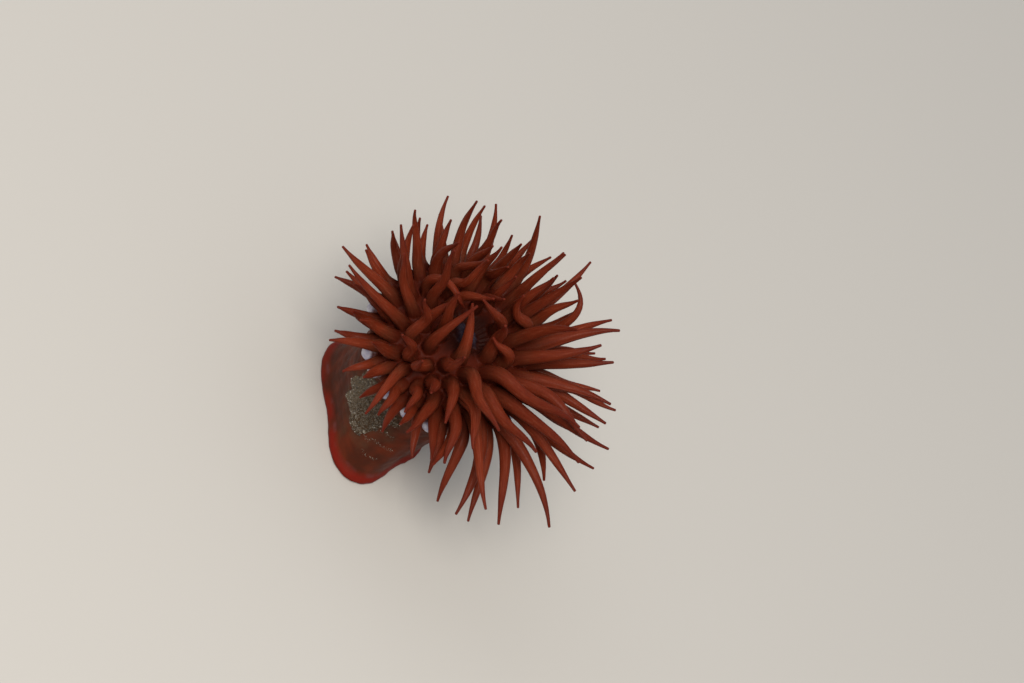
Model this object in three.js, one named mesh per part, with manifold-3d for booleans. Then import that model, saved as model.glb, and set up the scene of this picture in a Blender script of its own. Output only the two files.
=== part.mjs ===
// Beadlet anemone (Actinia equina), open, as a life-size still model.
// Millimetres, +Z up. The origin is the centre of the foot's underside.
// Azimuths run from +X towards +Y: 0 right, 90 far, 180 left, 270 near.

import * as THREE from 'three';
import { mergeVertices } from 'three/addons/utils/BufferGeometryUtils.js';
import Module from 'manifold-3d';

const wasm = await Module();
wasm.setup();

// ---- Driving dimensions ----------------------------------------------------

const seam = 0.3;                 // clear gap between neighbouring pieces
const degree = Math.PI / 180;

const foot = { radius: 9.5, flare: 0.8, bevel: 0.3, edge: 0.6, top: 1.44, height: 2.4 };
const column = { waist: 9.9, neck: 11.4, height: 15.6, rings: 4 };
const collar = { radius: 13.0, chin: 0.9, height: 3.0 };
const shoulder = { inner: 3.4, width: 9.6, rise: 5.2, skin: 1.6 };
const disc = { sink: 0.8, lipRadius: 1.45, lipThickness: 0.55, lipStretch: 1.45 };
const sides = { body: 20, disc: 14, lip: 12, lipRound: 4 };

// Beads stand out of the collar's side, each a little apart in size and place.
const beads = { count: 18, first: 6, radius: 1.09, height: 1.55, out: 0.14, swell: 0.2, stray: 1.5 };
// Four beads that differ from their neighbours: a further turn, and how many times the size.
const ownBeads = { 11: [0, 1.25], 12: [10, 1.25], 13: [5, 1.0], 16: [-4, 1.3] };

// The foot is lobed where it grips: waves round its outline, in shares of its radius.
const footWaves = [
  { count: 2, share: 0.14, azimuth: -41 },
  { count: 3, share: 0.12, azimuth: -68 },
  { count: 4, share: 0.03, azimuth: -70 },
  { count: 5, share: 0.04, azimuth: -57 },
];

// The column leans to the far side, and the crown tips towards the near side and the left.
// The foot's waves fade out at this share of the column's height.
const posture = { leanFar: 3.2, tipNear: 10, tipLeft: 4, gripHeight: 0.6 };

const crownHeight = foot.height + seam + column.height + seam;

// Tentacles stand in cycles round the shoulder, from the innermost to the outermost.
// A cycle's angle is measured down the shoulder from its top, first is an azimuth, and
// length and radius are a tentacle's own before it is stretched or drawn in.
const cycles = [
  { band: 0, count: 6, first: 0, angle: 7, length: 16.5, radius: 1.15, sides: 5, steps: 4 },
  { band: 0, count: 12, first: 15, angle: 20, length: 17.0, radius: 1.15, sides: 4, steps: 4 },
  { band: 1, count: 12, first: 0, angle: 33, length: 17.0, radius: 1.12, sides: 4, steps: 4 },
  { band: 1, count: 12, first: 15, angle: 41, length: 16.8, radius: 1.12, sides: 4, steps: 4 },
  { band: 2, count: 24, first: 7.5, angle: 54, length: 16.0, radius: 1.08, sides: 4, steps: 3 },
  { band: 3, count: 24, first: 0, angle: 70, length: 14.8, radius: 1.02, sides: 4, steps: 3 },
  { band: 4, count: 24, first: 7.5, angle: 85, length: 13.4, radius: 0.95, sides: 4, steps: 3 },
];

// A tentacle is drawn through its stations. Its root is a neck, then it thins towards the tip;
// fullness above 1 keeps more of its thickness near the root.
const stations = 20;
const clearance = 0.26;           // kept between tentacles
const form = { neck: 0.65, swell: 0.08, taper: 0.74, fullness: 1.1, tipRadius: 0.28, sink: 0.5 };
const course = { turnOut: 0.4, curlFrom: 0.35, sideSway: 0.6 };   // shares of the length
const aiming = { leave: 0.32, stray: 0.14 };   // shares of the way from a root to a given tip
const uprightness = 1.5;          // above 1, the middle cycles stand more like the inner ones
const ownSteps = 5;               // lengths of a tentacle with a bearing of its own

// Each band carries the roots of one cycle, or of the first two, and is parted in sectors.
const bands = [
  { name: 'inner_tentacles', top: 0, bottom: 26, sectors: 6, start: -30 },
  { name: 'third_cycle', top: 28.5, bottom: 46, sectors: 6, start: -7.5 },
  { name: 'fourth_cycle', top: 48.5, bottom: 61, sectors: 12, start: 0 },
  { name: 'fifth_cycle', top: 63.5, bottom: 76, sectors: 12, start: -7.5 },
  { name: 'outer_cycle', top: 78.5, bottom: 89, sectors: 12, start: 0 },
];

// How the crown is spread round its rim: the lean above the crown's plane and the
// reach, each for the innermost and the outermost tentacles, then how far they sweep
// sideways, how their tips lift, how unlike their neighbours they are and how thick.
const spread = [
  { azimuth: 0, lean: [30, 4], reach: [1.12, 0.98], sweep: 0, tip: -6, unrest: 0.7, girth: 1.06 },
  { azimuth: 28, lean: [42, 12], reach: [0.96, 0.84], sweep: -5, tip: -4, unrest: 0.8, girth: 1.08 },
  { azimuth: 55, lean: [70, 22], reach: [0.92, 0.76], sweep: -2, tip: 4, unrest: 1.0, girth: 1.0 },
  { azimuth: 90, lean: [108, 40], reach: [0.86, 0.66], sweep: 0, tip: 8, unrest: 1.3, girth: 0.9 },
  { azimuth: 130, lean: [110, 34], reach: [0.86, 0.64], sweep: 6, tip: 8, unrest: 1.3, girth: 0.86 },
  { azimuth: 165, lean: [104, 34], reach: [0.88, 0.58], sweep: -4, tip: 8, unrest: 1.2, girth: 0.84 },
  { azimuth: 200, lean: [84, 12], reach: [0.95, 0.56], sweep: -6, tip: -4, unrest: 1.0, girth: 0.92 },
  { azimuth: 235, lean: [92, 4], reach: [0.84, 0.46], sweep: -4, tip: -4, unrest: 1.2, girth: 0.96 },
  { azimuth: 270, lean: [74, -4], reach: [0.8, 0.5], sweep: 0, tip: 0, unrest: 1.3, girth: 0.94 },
  { azimuth: 300, lean: [60, -8], reach: [0.84, 0.56], sweep: 6, tip: -4, unrest: 1.1, girth: 1.05 },
  { azimuth: 330, lean: [34, -14], reach: [1.1, 1.0], sweep: 6, tip: -12, unrest: 0.8, girth: 1.08 },
];

// A few tentacles with a bearing of their own.
const bear = (cycle, azimuth, bearing) => ({ cycle, azimuth, bearing });
const bearings = {
  hook: bear(5, 60, { lean: 78, tip: -70, sweep: 0, tipSweep: 110, wave: 0, reach: 0.95 }),
  arch: bear(2, 180, { lean: 118, tip: 110, sweep: 0, tipSweep: 0, wave: 0, reach: 0.72 }),
  elbow: bear(2, 60, { lean: 140, tip: -50, sweep: -10, tipSweep: -30, wave: 0, reach: 0.8 }),
  strand: bear(1, 255, { lean: 100, tip: 30, sweep: 0, tipSweep: 10, wave: 0, reach: 0.8 }),
  stub: bear(1, 225, { lean: 98, tip: 10, sweep: 0, tipSweep: 0, wave: 0, reach: 0.6 }),
};

// Where the most visible of the others end: cycle, azimuth on the crown, then the tip's place.
const end = (cycle, azimuth, ...tip) => ({ cycle, azimuth, tip });
const ends = [
  end(0, 0, 2, -2.5, 39), end(0, 60, -3, -3, 39), end(0, 300, -3.6, -1.3, 35), end(1, 15, 2, -1, 34),
  end(1, 45, 9, 4, 44), end(2, 30, 13, 12, 38), end(3, 15, 21, 9, 35),
  end(3, 45, 13, 17, 38), end(3, 225, -19, -12, 30), end(4, 7.5, 26, 3, 35),
  end(4, 52.5, 11, 18, 37), end(4, 97.5, -8, 14, 42), end(4, 202.5, -22, -8, 27),
  end(4, 262.5, 0, -20, 22), end(4, 322.5, 22, -15, 25), end(4, 337.5, 30, -7, 25),
  end(4, 352.5, 28, -3, 30), end(5, 0, 27, 1, 32), end(5, 75, 2, 24, 35),
  end(5, 150, -19, 13, 30), end(5, 240, -12, -16, 21), end(5, 315, 12, -18, 25),
  end(5, 330, 20, -15, 19), end(5, 345, 25, -13, 23), end(6, 7.5, 24, -3, 26),
  end(6, 322.5, 17, -12, 14), end(6, 337.5, 22, -13, 18), end(6, 352.5, 25, -6, 21),
];

const unrest = { lean: 11, sweep: 10, reach: 0.12, wave: 15, inner: 1.6 };   // how unlike neighbours are
const settling = { rounds: 70, firmness: 0.5, evening: 0.35, freeFrom: 2 };

// ---- Posture ---------------------------------------------------------------

function smooth(t) {
  const c = Math.min(1, Math.max(0, t));
  return c * c * (3 - 2 * c);
}

function mix(a, b, t) {
  return a + (b - a) * t;
}

// A fixed scatter between -1 and 1 for each tentacle and purpose.
function scatter(index, purpose) {
  const x = Math.sin(index * 12.9898 + purpose * 78.233) * 4375.8547;
  return 2 * (x - Math.floor(x)) - 1;
}

function crownTurn(share) {
  const turn = new THREE.Matrix4().makeRotationX(posture.tipNear * degree * share);
  return turn.premultiply(new THREE.Matrix4().makeRotationY(-posture.tipLeft * degree * share));
}

const crownMatrix = crownTurn(1).setPosition(0, posture.leanFar, crownHeight);
const crownInverse = crownMatrix.clone().invert();

// Stands a point of the straight, round body in the animal's own posture.
function poseBody(point) {
  const bend = smooth((point.z - foot.height) / (column.height + 2 * seam));
  const azimuth = Math.atan2(point.y, point.x);
  const grip = 1 - smooth(point.z / (foot.height + posture.gripHeight * column.height));
  let share = 1;
  for (const wave of footWaves) {
    share += grip * wave.share * Math.cos(wave.count * (azimuth - wave.azimuth * degree));
  }
  const height = Math.min(point.z, crownHeight);
  const across = new THREE.Vector3(point.x * share, point.y * share, point.z - height);
  across.applyMatrix4(crownTurn(bend));
  return across.add(new THREE.Vector3(0, posture.leanFar * bend, height));
}

// A point of the shoulder's skin: azimuth and angle in degrees, depth below the skin.
function shoulderPoint(azimuth, angle, depth) {
  const a = angle * degree;
  const radius = shoulder.inner + (shoulder.width - depth) * Math.sin(a);
  const height = collar.height + (shoulder.rise - depth) * Math.cos(a);
  const turn = azimuth * degree;
  const point = new THREE.Vector3(radius * Math.cos(turn), radius * Math.sin(turn), height);
  return point.applyMatrix4(crownMatrix);
}

// A direction given by its azimuth and its lift above the crown's plane.
function crownDirection(azimuth, lift) {
  const flat = Math.cos(lift * degree);
  const turn = azimuth * degree;
  const way = new THREE.Vector3(flat * Math.cos(turn), flat * Math.sin(turn), Math.sin(lift * degree));
  return way.transformDirection(crownMatrix);
}

// ---- Tentacles -------------------------------------------------------------

// The spread at an azimuth, and at a share of the way from the inner to the outer cycle.
function spreadAt(azimuth, outward) {
  const turn = ((azimuth % 360) + 360) % 360;
  let k = spread.length - 1;
  while (spread[k].azimuth > turn) k -= 1;
  const from = spread[k];
  const to = spread[(k + 1) % spread.length];
  const gap = (to.azimuth - from.azimuth + 360) % 360;
  const t = smooth((turn - from.azimuth) / gap);
  const between = (key) => mix(from[key], to[key], t);
  const graded = (key) => mix(mix(...from[key], outward), mix(...to[key], outward), t);
  return {
    lean: graded('lean'),
    reach: graded('reach'),
    sweep: between('sweep'),
    tip: between('tip'),
    unrest: between('unrest'),
    girth: between('girth'),
  };
}

function listTentacles() {
  const list = [];
  cycles.forEach((cycle, order) => {
    for (let i = 0; i < cycle.count; i += 1) {
      const place = cycle.first + (360 / cycle.count) * i;
      const id = list.length + 1;
      const outward = (order / (cycles.length - 1)) ** uprightness;
      const at = spreadAt(place, outward);
      const stir = at.unrest * mix(unrest.inner, 1, outward);
      const own = Object.values(bearings).find((b) => b.cycle === order && b.azimuth === place);
      const vary = (amount, purpose) => stir * amount * scatter(id, purpose);
      const free = {
        lean: at.lean + vary(unrest.lean, 1),
        tip: at.tip + vary(unrest.lean, 3),
        sweep: at.sweep + vary(unrest.sweep, 4),
        tipSweep: vary(unrest.wave, 5),
        wave: vary(unrest.wave, 6),
        reach: at.reach * (1 + vary(unrest.reach, 7)),
      };
      const bearing = own ? own.bearing : free;
      const tentacle = {
        cycle,
        azimuth: place + scatter(id, 2),
        radius: cycle.radius * at.girth * (1 + 0.5 * unrest.reach * scatter(id, 8)),
        length: cycle.length * bearing.reach,
        bends: own ? ownSteps : 0,
        ...bearing,
      };
      const given = ends.find((e) => e.cycle === order && e.azimuth === place);
      if (given) {
        tentacle.curve = curveTo(tentacle, new THREE.Vector3(...given.tip), scatter(id, 5));
        tentacle.length = tentacle.curve.getLength();
      }
      list.push(tentacle);
    }
  });
  return list;
}

// A curve that leaves the shoulder straight outwards and ends at the given tip.
function curveTo({ azimuth, cycle }, end, stray) {
  const root = shoulderPoint(azimuth, cycle.angle, 0);
  const gap = root.distanceTo(end);
  const leave = crownDirection(azimuth, 90 - cycle.angle).multiplyScalar(gap * aiming.leave);
  const bend = leave.add(root).clone().add(end).multiplyScalar(0.5);
  bend.addScaledVector(crownDirection(azimuth + 90, 0), gap * aiming.stray * stray);
  return new THREE.CubicBezierCurve3(root, leave, bend, end);
}

// The radius at a share s of a tentacle's length.
function radiusAt(tentacle, s) {
  const neck = mix(form.neck, 1, smooth(s / form.swell));
  const taper = 1 - form.taper * s ** form.fullness;
  return Math.max(form.tipRadius, tentacle.radius * neck * taper);
}

// The first line of a tentacle, from its root along its lean, sweep and curl.
function sketch(tentacle) {
  if (tentacle.curve) return tentacle.curve.getSpacedPoints(stations);
  const { azimuth, cycle, lean, tip, sweep, tipSweep, wave, length } = tentacle;
  const rootLift = 90 - cycle.angle;
  const step = length / stations;
  const point = shoulderPoint(azimuth, cycle.angle, 0);
  const points = [point.clone()];
  for (let j = 0; j < stations; j += 1) {
    const s = (j + 0.5) / stations;
    const turnOut = smooth(s / course.turnOut);
    const curl = smooth((s - course.curlFrom) / (1 - course.curlFrom));
    const sway = wave * Math.sin(2 * Math.PI * s) * turnOut;
    const lift = mix(rootLift, lean, turnOut) + tip * curl + sway;
    const turn = azimuth + sweep * turnOut + tipSweep * curl + course.sideSway * sway;
    point.addScaledVector(crownDirection(turn, lift), step);
    points.push(point.clone());
  }
  return points;
}

// Pushes crowded tentacles apart until none touches another or the body.
function settle(tentacles) {
  const sketches = tentacles.map(sketch);
  const lines = sketches.map((line) => line.map((p) => p.clone()));
  const radii = tentacles.map((t) => lines[0].map((_, j) => radiusAt(t, j / stations)));
  for (let round = 0; round < settling.rounds; round += 1) {
    const moves = lines.map((line) => line.map(() => new THREE.Vector3()));
    for (let a = 0; a < lines.length; a += 1) {
      for (let b = a + 1; b < lines.length; b += 1) {
        pushApart(lines[a], lines[b], radii[a], radii[b], moves[a], moves[b]);
      }
      for (let j = settling.freeFrom + 1; j <= stations; j += 1) {
        moves[a][j].add(bodyPush(lines[a][j], radii[a][j]));
      }
    }
    lines.forEach((line, a) => relax(line, sketches[a], moves[a], tentacles[a].length / stations));
  }
  return lines;
}

// How far a point must move to stay clear of the collar and the shoulder.
function bodyPush(point, radius) {
  const local = point.clone().applyMatrix4(crownInverse);
  const moved = local.clone().add(localPush(local, radius));
  return moved.applyMatrix4(crownMatrix).sub(point);
}

function localPush(local, radius) {
  const out = Math.hypot(local.x, local.y) + 1e-9;
  const need = radius + clearance;
  if (local.z < collar.height) {
    const lack = Math.max(0, collar.radius + need - out);
    return new THREE.Vector3(local.x / out, local.y / out, 0).multiplyScalar(lack);
  }
  const sideways = Math.max(0, out - shoulder.inner);
  const upward = local.z - collar.height;
  const share = Math.hypot(sideways / shoulder.width, upward / shoulder.rise);
  const lack = Math.max(0, need - (share - 1) * shoulder.rise);
  const reach = Math.hypot(sideways, upward) + 1e-9;
  const flat = sideways / reach / out;
  return new THREE.Vector3(local.x * flat, local.y * flat, upward / reach).multiplyScalar(lack);
}

function pushApart(lineA, lineB, radiiA, radiiB, movesA, movesB) {
  const way = new THREE.Vector3();
  for (let j = 1; j <= stations; j += 1) {
    for (let k = 1; k <= stations; k += 1) {
      const need = radiiA[j] + radiiB[k] + clearance;
      way.subVectors(lineA[j], lineB[k]);
      const distance = way.length();
      if (distance >= need) continue;
      way.multiplyScalar((settling.firmness * (need - distance)) / (distance + 1e-9));
      movesA[j].add(way);
      movesB[k].sub(way);
    }
  }
}

// Moves one line, evens the moves out along it and keeps its length.
function relax(line, first, moves, step) {
  const shifts = line.map((p, j) => p.clone().sub(first[j]));
  for (let j = settling.freeFrom; j <= stations; j += 1) shifts[j].add(moves[j]);
  const evened = shifts.map((shift) => shift.clone());
  for (let j = settling.freeFrom; j < stations; j += 1) {
    const middle = shifts[j - 1].clone().add(shifts[j + 1]).multiplyScalar(0.5);
    evened[j].lerp(middle, settling.evening);
  }
  for (let j = settling.freeFrom; j <= stations; j += 1) {
    const way = first[j].clone().add(evened[j]).sub(line[j - 1]).normalize();
    line[j].copy(line[j - 1]).addScaledVector(way, step);
  }
}

// ---- Solids ----------------------------------------------------------------

// A closed three.js geometry as a solid that can be joined.
function toSolid(geometry) {
  const bare = geometry.clone();
  bare.deleteAttribute('normal');
  bare.deleteAttribute('uv');
  const merged = mergeVertices(bare, 1e-4);
  const index = merged.index.array;
  const faces = [];
  for (let i = 0; i < index.length; i += 3) {
    const [a, b, c] = [index[i], index[i + 1], index[i + 2]];
    if (a !== b && b !== c && c !== a) faces.push(a, b, c);
  }
  return new wasm.Manifold(new wasm.Mesh({
    numProp: 3,
    vertProperties: new Float32Array(merged.attributes.position.array),
    triVerts: new Uint32Array(faces),
  }));
}

function toMesh(solid, name, material) {
  const parts = solid.getMesh();
  const geometry = new THREE.BufferGeometry();
  geometry.setAttribute('position', new THREE.BufferAttribute(new Float32Array(parts.vertProperties), 3));
  geometry.setIndex(new THREE.BufferAttribute(new Uint32Array(parts.triVerts), 1));
  const mesh = new THREE.Mesh(geometry, material);
  mesh.name = name;
  return mesh;
}

function moveVertices(geometry, place) {
  const position = geometry.attributes.position;
  const point = new THREE.Vector3();
  for (let i = 0; i < position.count; i += 1) {
    point.fromBufferAttribute(position, i);
    const moved = place(point);
    position.setXYZ(i, moved.x, moved.y, moved.z);
  }
  return geometry;
}

// A turned piece of the body, from its outline of [radius, height] points.
function turned(outline, segments) {
  const profile = outline.map(([radius, height]) => new THREE.Vector2(radius, height));
  const geometry = new THREE.LatheGeometry(profile, segments).rotateX(Math.PI / 2);
  return toSolid(moveVertices(geometry, poseBody));
}

// A tapering tube along a settled line, sunk at its root into the band it grows from.
function tentacleSolid(tentacle, line) {
  const sink = form.sink * shoulder.skin;
  const rootWay = line[1].clone().sub(line[0]).normalize();
  const start = line[0].clone().addScaledVector(rootWay, -sink);
  const curve = new THREE.CatmullRomCurve3([start, ...line.slice(1)]);
  const { sides } = tentacle.cycle;
  const steps = Math.max(tentacle.cycle.steps, tentacle.bends);
  const frames = curve.computeFrenetFrames(steps, false);
  const tube = new THREE.CylinderGeometry(1, 1, 1, sides, steps);
  return toSolid(moveVertices(tube, (p) => {
    const k = Math.round((p.y + 0.5) * steps);
    const s = k / steps;
    const radius = radiusAt(tentacle, s);
    return curve.getPointAt(s)
      .addScaledVector(frames.normals[k], p.z * radius)
      .addScaledVector(frames.binormals[k], p.x * radius);
  }));
}

// One sector of a band of the shoulder's skin.
function bandSolid(band, sector) {
  const width = 360 / band.sectors;
  const middle = (band.top + band.bottom) / 2;
  const halfGap = seam / 2 / shoulderRadius(middle) / degree;
  const from = band.start + width * sector + halfGap;
  const to = band.start + width * (sector + 1) - halfGap;
  const steps = Math.round(width / 20);
  const block = new THREE.BoxGeometry(1, 1, 1, steps, 1, 1);
  return toSolid(moveVertices(block, (p) => shoulderPoint(
    mix(from, to, p.x + 0.5),
    mix(band.bottom, band.top, p.y + 0.5),
    mix(shoulder.skin, 0, p.z + 0.5),
  )));
}

function shoulderRadius(angle) {
  return shoulder.inner + shoulder.width * Math.sin(angle * degree);
}

// ---- Sub-parts -------------------------------------------------------------

const flesh = (color, roughness) => new THREE.MeshStandardMaterial({ color, roughness, metalness: 0 });

function makeFoot() {
  const outer = foot.radius + foot.flare;
  const outline = [
    [0, 0],
    [outer - foot.bevel, 0],
    [outer, foot.edge],
    [foot.radius + foot.bevel * foot.flare, foot.top],
    [foot.radius, foot.height],
    [0, foot.height],
  ];
  return toMesh(turned(outline, sides.body), 'foot', flesh(0x8a3020, 0.35));
}

function makeColumn() {
  const low = foot.height + seam;
  const high = low + column.height;
  const outline = [[0, low], [foot.radius, low]];
  for (let i = 1; i < column.rings; i += 1) {
    const t = i / column.rings;
    const pinch = Math.sin(Math.PI * t) * ((foot.radius + column.neck) / 2 - column.waist);
    outline.push([mix(foot.radius, column.neck, t) - pinch, mix(low, high, t)]);
  }
  outline.push([column.neck, high], [0, high]);
  return toMesh(turned(outline, sides.body), 'column', flesh(0x5e2a1e, 0.3));
}

// Depth below the shoulder's skin of what lies under the bands, and the height there
// of the flat top that the disc stands on.
const under = shoulder.skin + 1.4 * seam;
const discSeat = crownHeight + collar.height + shoulder.rise - 2.2 * under;

function makeCollar() {
  const shoulderFoot = crownHeight + collar.height;
  const outline = [
    [0, crownHeight],
    [column.neck, crownHeight],
    [collar.radius, crownHeight + collar.chin],
    [collar.radius, shoulderFoot - seam],
    [shoulder.inner + shoulder.width - under, shoulderFoot - seam],
  ];
  for (const angle of [60, 30]) {
    const out = (shoulder.width - under) * Math.sin(angle * degree);
    const up = (shoulder.rise - under) * Math.cos(angle * degree);
    outline.push([shoulder.inner + out, shoulderFoot + up]);
  }
  outline.push([shoulder.inner - seam, discSeat], [0, discSeat]);
  let solid = turned(outline, beads.count);
  for (let i = 1; i <= beads.count; i += 1) solid = solid.add(beadSolid(i));
  return toMesh(solid, 'collar', flesh(0x6e3024, 0.3));
}

function beadSolid(number) {
  const [turnFurther, size] = ownBeads[number] ?? [0, 1];
  const radius = beads.radius * size * (1 + beads.swell * scatter(number, 9));
  const stray = beads.stray * scatter(number, 10) + turnFurther;
  const azimuth = beads.first + (360 / beads.count) * (number - 1) + stray;
  const turn = azimuth * degree;
  const out = collar.radius + beads.out * radius;
  const centre = new THREE.Vector3(out * Math.cos(turn), out * Math.sin(turn), beads.height);
  centre.applyMatrix4(crownMatrix);
  const bead = new THREE.OctahedronGeometry(radius).rotateZ(turn + Math.PI / 4);
  return toSolid(bead.translate(centre.x, centre.y, centre.z));
}

// The disc dips evenly towards the mouth.
function discHeight(radius) {
  const dip = disc.sink * Math.cos((Math.PI / 2) * Math.min(1, radius / shoulder.inner));
  return crownHeight + collar.height + shoulder.rise - dip;
}

function makeDisc() {
  const edge = shoulder.inner - seam;
  const outline = [[0, discSeat + seam], [edge, discSeat + seam]];
  for (const share of [1, 0.75, 0.5, 0.25, 0]) outline.push([edge * share, discHeight(edge * share)]);
  return toMesh(turned(outline, sides.disc), 'oral_disc', flesh(0x6a2c1c, 0.35));
}

// A lip round the slit of the mouth, longer one way than the other.
function makeMouth() {
  const ring = disc.lipRadius - disc.lipThickness;
  const lip = new THREE.TorusGeometry(ring, disc.lipThickness, sides.lipRound, sides.lip);
  const height = discHeight(disc.lipRadius) + disc.lipThickness + seam;
  moveVertices(lip, (p) => poseBody(new THREE.Vector3(p.x * disc.lipStretch, p.y, p.z + height)));
  return toMesh(toSolid(lip), 'mouth', flesh(0x7a3a2a, 0.35));
}

// The tentacles of a band's sector are one piece with the skin that they grow from.
function makeTentacles() {
  const tentacles = listTentacles();
  const lines = settle(tentacles);
  const meshes = [];
  bands.forEach((band, order) => {
    const width = 360 / band.sectors;
    for (let sector = 0; sector < band.sectors; sector += 1) {
      let solid = bandSolid(band, sector);
      tentacles.forEach((tentacle, i) => {
        if (tentacle.cycle.band !== order) return;
        const turn = (tentacle.azimuth - band.start + 360) % 360;
        if (Math.floor(turn / width) !== sector) return;
        solid = solid.add(tentacleSolid(tentacle, lines[i]));
      });
      const name = `${band.name}_${String(sector + 1).padStart(2, '0')}`;
      meshes.push(toMesh(solid, name, flesh(0x8a4028, 0.3)));
    }
  });
  return meshes;
}

const anemone = new THREE.Group();
anemone.add(makeFoot(), makeColumn(), makeCollar(), makeDisc(), makeMouth(), ...makeTentacles());

export default anemone;
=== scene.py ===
# Beadlet anemone, open. One skin covers the whole animal, from the foot to the tips of the tentacles;
# the beads under the tentacles and the sand stuck to the column are pieces of their own.
# Shapes are worked out in millimetres, and each mesh is scaled to metres when it is finished.
# Azimuths run from +X towards +Y: 0 right, 90 far, 180 left, 270 near.
import math
import random

import bmesh
import bpy
import numpy as np
from mathutils import Matrix, Vector, noise


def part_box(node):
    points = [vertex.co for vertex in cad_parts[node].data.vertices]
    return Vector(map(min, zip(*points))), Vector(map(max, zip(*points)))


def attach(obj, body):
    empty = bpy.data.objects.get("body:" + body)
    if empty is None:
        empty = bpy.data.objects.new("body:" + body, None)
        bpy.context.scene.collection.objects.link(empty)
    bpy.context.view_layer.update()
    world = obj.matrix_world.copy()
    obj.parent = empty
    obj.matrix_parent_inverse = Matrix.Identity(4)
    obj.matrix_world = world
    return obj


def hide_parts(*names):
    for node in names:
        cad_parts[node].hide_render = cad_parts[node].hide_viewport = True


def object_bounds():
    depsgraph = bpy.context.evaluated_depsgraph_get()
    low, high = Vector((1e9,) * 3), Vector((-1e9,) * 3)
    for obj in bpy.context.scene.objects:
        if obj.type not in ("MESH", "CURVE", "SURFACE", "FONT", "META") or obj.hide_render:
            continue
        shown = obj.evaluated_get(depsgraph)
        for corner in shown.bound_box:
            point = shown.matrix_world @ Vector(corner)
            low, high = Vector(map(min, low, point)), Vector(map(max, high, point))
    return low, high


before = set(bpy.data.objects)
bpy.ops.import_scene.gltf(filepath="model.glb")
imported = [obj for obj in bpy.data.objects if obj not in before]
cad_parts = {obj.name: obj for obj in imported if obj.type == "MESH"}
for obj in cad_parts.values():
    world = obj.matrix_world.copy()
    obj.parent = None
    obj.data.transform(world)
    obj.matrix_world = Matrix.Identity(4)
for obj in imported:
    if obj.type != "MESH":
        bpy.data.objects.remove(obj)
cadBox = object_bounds()
mm = 1000  # millimetres in a metre


def mix(a, b, t):
    return a + (b - a) * t


def smooth(t):
    c = min(1, max(0, t))
    return c * c * (3 - 2 * c)


purposes = (
    "lean", "azimuth", "tip", "sweep", "side", "wave", "reach", "girth", "beadSize", "beadPlace", "shade",
)


def scatter(index, purpose):  # a fixed scatter between -1 and 1, another for each purpose
    x = math.sin(index * 12.9898 + (purposes.index(purpose) + 1) * 78.233) * 4375.8547
    return 2 * (x - math.floor(x)) - 1


def makeObject(bm, name, material, smoothed=False):  # scales the shape to metres
    bmesh.ops.scale(bm, vec=(1 / mm,) * 3, verts=bm.verts)
    mesh = bpy.data.meshes.new(name)
    bm.to_mesh(mesh)
    bm.free()
    if smoothed:
        mesh.shade_smooth()
    mesh.materials.append(material)
    piece = bpy.data.objects.new(name, mesh)
    bpy.context.collection.objects.link(piece)
    return piece


# Shader helpers
class Wire:  # the output of a shader node; sums on it add Math nodes
    def __init__(self, tree, socket):
        self.tree, self.socket = tree, socket

    def sum(self, operation, *values):
        return addNode(self.tree, "Math", {"operation": operation}, dict(enumerate(values)))

    def __add__(self, other):
        return self.sum("ADD", self, other)

    def __sub__(self, other):
        return self.sum("SUBTRACT", self, other)

    def __rsub__(self, other):
        return self.sum("SUBTRACT", other, self)

    def __mul__(self, other):
        return self.sum("MULTIPLY", self, other)

    __radd__, __rmul__ = __add__, __mul__


def addNode(tree, kind, settings=None, inputs=None, output=0):
    node = tree.nodes.new("ShaderNode" + kind)
    for name, value in (settings or {}).items():
        setattr(node, name, value)
    for name, value in (inputs or {}).items():
        if isinstance(value, Wire):
            tree.links.new(value.socket, node.inputs[name])
        else:
            node.inputs[name].default_value = value
    return Wire(tree, node.outputs[output])


def newMaterial(name, **constants):  # the shader's constants are named as its sockets, without spaces
    material = bpy.data.materials.new(name)
    material.use_nodes = True
    shader = material.node_tree.nodes["Principled BSDF"]
    for socket in shader.inputs:
        if socket.name.replace(" ", "") in constants:
            socket.default_value = constants[socket.name.replace(" ", "")]
    return material, material.node_tree, shader


def attribute(tree, name, vector=False):
    return addNode(tree, "Attribute", {"attribute_name": name}, output=1 if vector else 2)


def apart(tree, vector, axis):
    return addNode(tree, "SeparateXYZ", None, {"Vector": vector}, axis)


def between(value, low, high):  # 0 below low, 1 above high, smooth between them
    settings = {"interpolation_type": "SMOOTHSTEP"}
    return addNode(value.tree, "MapRange", settings, {"Value": value, "From Min": low, "From Max": high})


def grain(vector, scale, detail=2.0, roughness=0.5):
    inputs = {"Vector": vector, "Scale": scale, "Detail": detail, "Roughness": roughness}
    return addNode(vector.tree, "TexNoise", None, inputs)


def stretch(vector, x, y, z):
    return addNode(vector.tree, "VectorMath", {"operation": "MULTIPLY"}, {0: vector, 1: (x, y, z)})


def blend(mask, low, high):  # a colour or Wire low where the mask is 0, high where it is 1
    settings = {"data_type": "RGBA", "clamp_factor": True}
    colors = [c if isinstance(c, Wire) else (*c, 1) for c in (low, high)]
    return addNode(mask.tree, "Mix", settings, {0: mask, 6: colors[0], 7: colors[1]}, 2)


def stir(value, amount, noise):  # the value moved up and down by a noise
    return value + amount * (noise - 0.5)


def feed(shader, name, wire):
    wire.tree.links.new(wire.socket, shader.inputs[name])


def bump(height, depth):  # depth in millimetres
    return addNode(height.tree, "Bump", None, {"Strength": 1.0, "Distance": depth / mm, "Height": height})


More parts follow.
